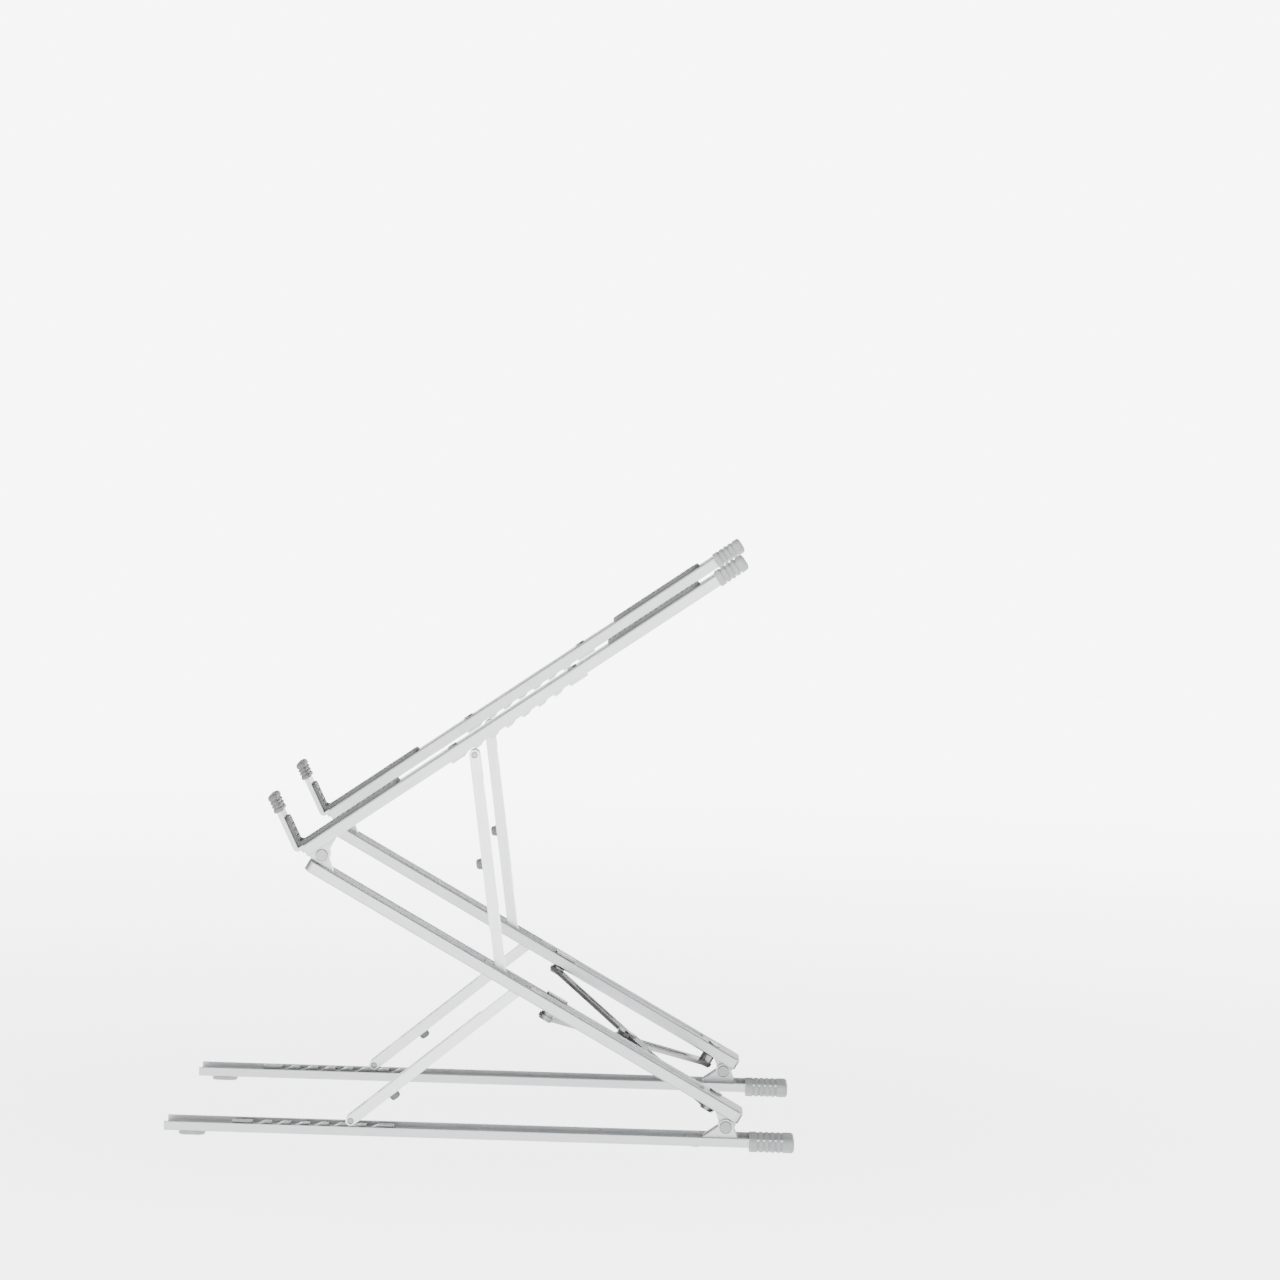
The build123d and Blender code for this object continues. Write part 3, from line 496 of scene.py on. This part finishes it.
def soft_foot(node):
    """Front foot: a rounded pad whose underside has concentric grip ribs."""
    low, high = local_box(node, BASE)
    centre = (low + high) / 2
    half_width = (high.x - low.x) / 2
    half_length = (high.y - low.y) / 2
    height = high.z - low.z
    profile = [(0, 0.0), (0.3 * height, 0.0)]
    profile += [(height - back, inset) for back, inset in arc_profile(FOOT_ROUNDING)]
    for number in range(FOOT_GROOVES):
        start = FOOT_ROUNDING + FOOT_GROOVE_START + FOOT_GROOVE_PITCH * number
        centre_inset = start + FOOT_GROOVE_HALF_WIDTH
        for inset, depth in groove(centre_inset, FOOT_GROOVE_HALF_WIDTH, FOOT_GROOVE_DEPTH):
            profile.append((height - depth, inset))
    rings = []
    for depth, inset in profile:
        section = rounded_section(half_width - inset, half_length - inset, FOOT_CORNER - 0.5 * inset)
        rings.append([(centre.x + x, centre.y + y, high.z - depth) for x, y in section])
    piece = make_piece(f"{node}_moulding", *loft(rings), BASE, foot_rubber)
    stand_for(piece, node)


def stud(node, turn):
    """Leg bumper: a flared foot, a short barrel and a domed top with a dimple."""
    low, high = local_box(node, turn)
    centre = (low + high) / 2
    radius = (high.x - low.x) / 2
    height = high.z - low.z
    dimple = STUD_DIMPLE * radius
    barrel = STUD_BARREL * radius
    profile = [(0, radius), (0.12 * height, radius), (0.2 * height, 0.9 * radius)]
    profile.append((STUD_SHOULDER * height, barrel))
    for step in range(1, STUD_DOME_STEPS + 1):
        angle = step / STUD_DOME_STEPS * pi / 2
        reach = dimple + (barrel - dimple) * cos(angle)
        profile.append((height * (STUD_SHOULDER + (1 - STUD_SHOULDER) * sin(angle)), reach))
    profile += [(0.95 * height, 0.7 * dimple), (0.9 * height, 0.4 * dimple)]
    rings = []
    angles = [2 * pi * step / STUD_AROUND for step in range(STUD_AROUND)]
    for level, reach in profile:
        rings.append([(centre.x + reach * cos(a), centre.y + reach * sin(a), low.z + level) for a in angles])
    piece = make_piece(f"{node}_moulding", *loft(rings), turn, silicone)
    stand_for(piece, node)


def rounding(distance, radius):
    """Height share of a quarter-round edge at a distance in from the rim."""
    return sqrt(max(0.0, 1 - (1 - min(distance / radius, 1)) ** 2))


def smooth(value, low, high):
    """Eased share of the way from low to high."""
    share = min(max((value - low) / (high - low), 0), 1)
    return share * share * (3 - 2 * share)


def rib_depth(run, pitch):
    """1 in the middle of a groove between two ribs, 0 on a rib."""
    phase = abs((run / pitch) % 1 - 0.5) * 2
    return smooth(1 - phase, 0.55, 0.95)


def strip(node, stations, centre_x, half_width, corner):
    """Ribbed silicone strip. A station is (length run so far, place on the rail, place on the top)."""
    total = stations[-1][0]
    points = []
    for run, bottom, top in stations:
        from_end = min(run, total - run)
        pinch = corner - sqrt(max(0.0, corner**2 - max(0.0, corner - from_end) ** 2))
        width = max(half_width - pinch, THIN_END)
        end_rise = rounding(from_end, PAD_EDGE)
        for step in range(PAD_ACROSS + 1):
            share = sin((step / PAD_ACROSS - 0.5) * pi)
            x = share * width
            rise = min(end_rise, rounding(width - abs(x), PAD_EDGE))
            inner = min(width - abs(x), from_end)
            rib = rib_depth(run, PAD_RIB_PITCH) * smooth(inner, *PAD_RIM)
            place = bottom.lerp(top, rise * (1 - PAD_GROOVE_SHARE * rib))
            points.append((centre_x + x, place.x, place.y))
    row = PAD_ACROSS + 1
    top_count = len(points)
    for _, bottom, _ in stations:
        base = len(points) - top_count
        for step in range(row):
            points.append((points[base + step][0], bottom.x, bottom.y))
    faces = []
    for index in range(len(stations) - 1):
        for step in range(PAD_ACROSS):
            a = index * row + step
            faces.append((a, a + 1, a + row + 1, a + row))
            b = a + top_count
            faces.append((b, b + row, b + row + 1, b + 1))
    for step in range(PAD_ACROSS):
        last = (len(stations) - 1) * row + step
        faces.append((step, step + top_count, step + top_count + 1, step + 1))
        faces.append((last, last + 1, last + top_count + 1, last + top_count))
    for index in range(len(stations) - 1):
        for a in (index * row, index * row + PAD_ACROSS):
            faces.append((a, a + row, a + row + top_count, a + top_count))
    piece = make_piece(f"{node}_moulding", points, faces, CARRY, silicone, sharp=60)
    stand_for(piece, node)


def even_stations(start, end, step, run=0.0):
    """Stations between two (bottom, top) places, no more than a step apart."""
    length = (end[0] - start[0]).length
    count = max(1, round(length / step))
    stations = []
    for number in range(count + 1):
        share = number / count
        stations.append((run + length * share, start[0].lerp(end[0], share), start[1].lerp(end[1], share)))
    return stations


def front_pad(node):
    """Strip from the top of the hook's inner face, round the crotch, and back along the rail."""
    points = local_points(node, CARRY)
    low, high = local_box(node, CARRY)
    corner = Vector((min(point.y for point in points if point.z < low.z + 0.01 * MM), low.z))
    thickness = max(point.z for point in points if point.y > high.y - 0.01 * MM) - low.z
    up_hook = Vector((cos(HOOK_ANGLE), sin(HOOK_ANGLE)))
    off_hook = Vector((sin(HOOK_ANGLE), -cos(HOOK_ANGLE)))
    along_rail = Vector((1, 0))
    off_rail = Vector((0, 1))
    reach = (thickness + CROTCH_RADIUS) * (1 + cos(HOOK_ANGLE)) / sin(HOOK_ANGLE)
    hook_top = corner + up_hook * (high.z - low.z) / sin(HOOK_ANGLE)
    hook_low = corner + up_hook * reach
    rail_start = corner + along_rail * reach
    rail_end = Vector((high.y, low.z))
    stations = even_stations(
        (hook_top, hook_top + off_hook * thickness), (hook_low, hook_low + off_hook * thickness), STATION
    )
    pivot = rail_start + off_rail * (thickness + CROTCH_RADIUS)
    turn = pi - HOOK_ANGLE
    for step in range(1, CROTCH_STEPS):
        share = step / CROTCH_STEPS
        spoke = Matrix.Rotation(turn * share, 2) @ -off_hook
        bottom = hook_low.lerp(corner, 2 * share) if share < 0.5 else corner.lerp(rail_start, 2 * share - 1)
        run = stations[-1][0] + CROTCH_RADIUS * turn / CROTCH_STEPS
        stations.append((run, bottom, pivot + spoke * CROTCH_RADIUS))
    run = stations[-1][0] + CROTCH_RADIUS * turn / CROTCH_STEPS
    stations += even_stations(
        (rail_start, rail_start + off_rail * thickness),
        (rail_end, rail_end + off_rail * thickness),
        STATION,
        run,
    )
    strip(node, stations, (low.x + high.x) / 2, (high.x - low.x) / 2, FRONT_PAD_CORNER)


def rear_pad(node):
    """Straight strip under the rear of the laptop."""
    low, high = local_box(node, CARRY)
    start = (Vector((low.y, low.z)), Vector((low.y, high.z)))
    end = (Vector((high.y, low.z)), Vector((high.y, high.z)))
    stations = even_stations(start, end, STATION)
    strip(node, stations, (low.x + high.x) / 2, (high.x - low.x) / 2, REAR_PAD_CORNER)


for side in SIDES:
    soft_foot(f"{side}_front_foot")
    grooved_cap(f"{side}_rear_foot", BASE, 2 * MM, 5, (0.2, 0.72), foot_rubber)
    grooved_cap(f"{side}_rail_cap", CARRY, 1.6 * MM, 4, (0.22, 0.72), foot_rubber)
    grooved_cap(f"{side}_hook_cap", HOOK, 1.3 * MM, 3, (0.25, 0.65), silicone)
    stud(f"{side}_lower_bumper", LOWER_LEG)
    stud(f"{side}_upper_bumper", UPPER_LEG)
    front_pad(f"{side}_front_pad")
    rear_pad(f"{side}_rear_pad")


# --------------------------------------------------------------------------- floor, light and camera
STUDIO = (1.0, 1.0, 1.0)
STUDIO_GLOW = 8.0  # brightness of the horizon and of the floor far off
# glow of the sky by rise, 0 at the horizon and 1 overhead
SKY = [(0.0, STUDIO_GLOW), (0.062, STUDIO_GLOW), (0.14, 0.22), (0.5, 0.4), (0.8, 1.4), (1.0, 1.6)]
FLOOR_REACH = 40.0
FLOOR_GAP = 0.02 * MM  # floor below the feet
FLOOR_FADE = (0.15, 1.6)  # distance over which the paper turns into plain light
FLOOR_OWN_LIGHT = 0.5  # share of the floor's brightness near the stand that is its own
# name, place, size in metres and power in watts
LIGHTS = [
    ("front box", (3.4, 0.1, 0.9), 1.8, 26),
    ("key", (1.8, -1.4, 1.6), 1.2, 24),
    ("rear box", (-1.6, 1.9, 1.3), 1.2, 12),
]


def floor_finish():
    """Pale lit paper near the stand, fading to the studio's own light far off."""
    finish = Finish("studio floor")
    paper = finish.blend(finish.noise(0.4, 2.0), (0.86, 0.865, 0.87), (0.9, 0.9, 0.9))
    finish.paint(paper, finish.rescale(finish.noise(0.05, 3.0), (0.3, 0.7), (0.6, 0.75)),
                 finish.relief(finish.noise(2 * MM, 3.0), 0.01 * MM))
    finish.surface.inputs["Specular IOR Level"].default_value = 0.2
    glow = finish.add("ShaderNodeEmission")
    glow.inputs["Color"].default_value = (*STUDIO, 1)
    glow.inputs["Strength"].default_value = STUDIO_GLOW
    distance = finish.add("ShaderNodeVectorMath", operation="LENGTH")
    finish.join(finish.place, distance.inputs[0])
    fade = finish.add("ShaderNodeMixShader")
    own_light = finish.rescale(distance.outputs["Value"], FLOOR_FADE, (FLOOR_OWN_LIGHT, 1))
    finish.join(own_light, fade.inputs[0])
    finish.join(finish.surface.outputs["BSDF"], fade.inputs[1])
    finish.join(glow.outputs["Emission"], fade.inputs[2])
    finish.join(fade.outputs["Shader"], finish.tree.nodes["Material Output"].inputs["Surface"])
    return finish.material


def studio_floor():
    """Round floor, far larger than the view."""
    shell = bmesh.new()
    bmesh.ops.create_circle(shell, cap_ends=True, radius=FLOOR_REACH, segments=96)
    mesh = bpy.data.meshes.new("floor")
    shell.to_mesh(mesh)
    shell.free()
    mesh.materials.append(floor_finish())
    floor = bpy.data.objects.new("floor", mesh)
    floor.location.z = cad_low.z - FLOOR_GAP
    bpy.context.scene.collection.objects.link(floor)


def studio_world():
    """White at the horizon, with a dark band above it and soft light overhead."""
    world = bpy.data.worlds.new("studio")
    world.use_nodes = True
    tree = world.node_tree
    background = tree.nodes["Background"]
    background.inputs["Strength"].default_value = STUDIO_GLOW
    direction = tree.nodes.new("ShaderNodeTexCoord")
    parts = tree.nodes.new("ShaderNodeSeparateXYZ")
    sky = tree.nodes.new("ShaderNodeValToRGB")
    stops = sky.color_ramp.elements
    while len(stops) < len(SKY):
        stops.new(1.0)
    for stop, (rise, glow) in zip(stops, SKY):
        stop.position = rise
        stop.color = (*shade(STUDIO, glow / STUDIO_GLOW), 1)
    tree.links.new(direction.outputs["Generated"], parts.inputs["Vector"])
    tree.links.new(parts.outputs["Z"], sky.inputs["Fac"])
    tree.links.new(sky.outputs["Color"], background.inputs["Color"])
    bpy.context.scene.world = world


def soft_light(name, place, size, power):
    """Square soft box that faces the middle of the stand."""
    data = bpy.data.lights.new(name, "AREA")
    data.shape = "SQUARE"
    data.size = size
    data.energy = power
    lamp = bpy.data.objects.new(name, data)
    lamp.location = place
    target = (cad_low + cad_high) / 2
    lamp.rotation_mode = "QUATERNION"
    lamp.rotation_quaternion = (target - lamp.location).to_track_quat("-Z", "Y")
    bpy.context.scene.collection.objects.link(lamp)


studio_floor()
studio_world()
for name, place, size, power in LIGHTS:
    soft_light(name, Vector(place), size, power)

CAMERA_PLACE = Vector((2.309, 0.0785, 0.351))
CAMERA_LENS = 149.8
CAMERA_YAW = radians(0.44)  # towards the hooks
CAMERA_PITCH = radians(3.53)  # below the horizon
CAMERA_ROLL = radians(1.7)


def side_camera():
    """Camera on the user's right, looking across the stand."""
    ahead = cos(CAMERA_PITCH)
    forward = Vector((-ahead * cos(CAMERA_YAW), -ahead * sin(CAMERA_YAW), -sin(CAMERA_PITCH)))
    level = forward.cross(Vector((0, 0, 1))).normalized()
    upright = level.cross(forward)
    right = level * cos(CAMERA_ROLL) + upright * sin(CAMERA_ROLL)
    above = right.cross(forward)
    data = bpy.data.cameras.new("camera")
    data.lens = CAMERA_LENS
    data.sensor_width = 36
    data.clip_start = 0.05
    data.clip_end = 100
    camera = bpy.data.objects.new("camera", data)
    turn = Matrix((right, above, -forward)).transposed()
    camera.matrix_world = Matrix.Translation(CAMERA_PLACE) @ turn.to_4x4()
    bpy.context.scene.collection.objects.link(camera)
    bpy.context.scene.camera = camera


side_camera()
